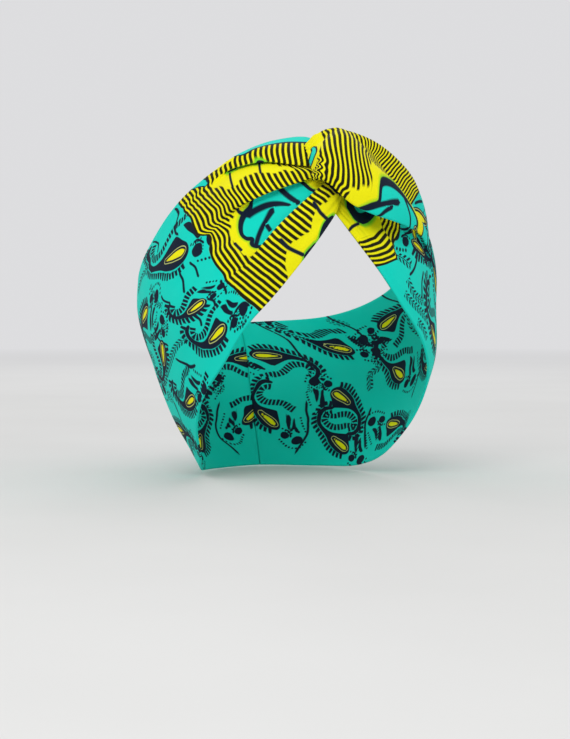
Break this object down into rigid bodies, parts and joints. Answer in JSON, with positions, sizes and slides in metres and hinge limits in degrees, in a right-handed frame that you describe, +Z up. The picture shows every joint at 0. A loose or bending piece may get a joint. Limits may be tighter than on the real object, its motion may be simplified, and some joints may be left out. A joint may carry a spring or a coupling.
{
  "type": "twisted turban headband",
  "caption": "Wide printed knit headband of two bands hooked through each other in a twist above the forehead, shown as worn round a head.",
  "frame": {"origin": "middle of the wearer's head at the height of the eyes, where the headband sits", "axes": "+Z up, -Y towards the front of the face, +X towards the wearer's left ear"},
  "size_m": [0.1668, 0.2037, 0.191],
  "materials": {
    "printed_knit": "matt, printed in turquoise, yellow and navy"
  },
  "bodies": {
    "root": {"right_band": "printed_knit", "left_band": "printed_knit"}
  },
  "joints": []
}
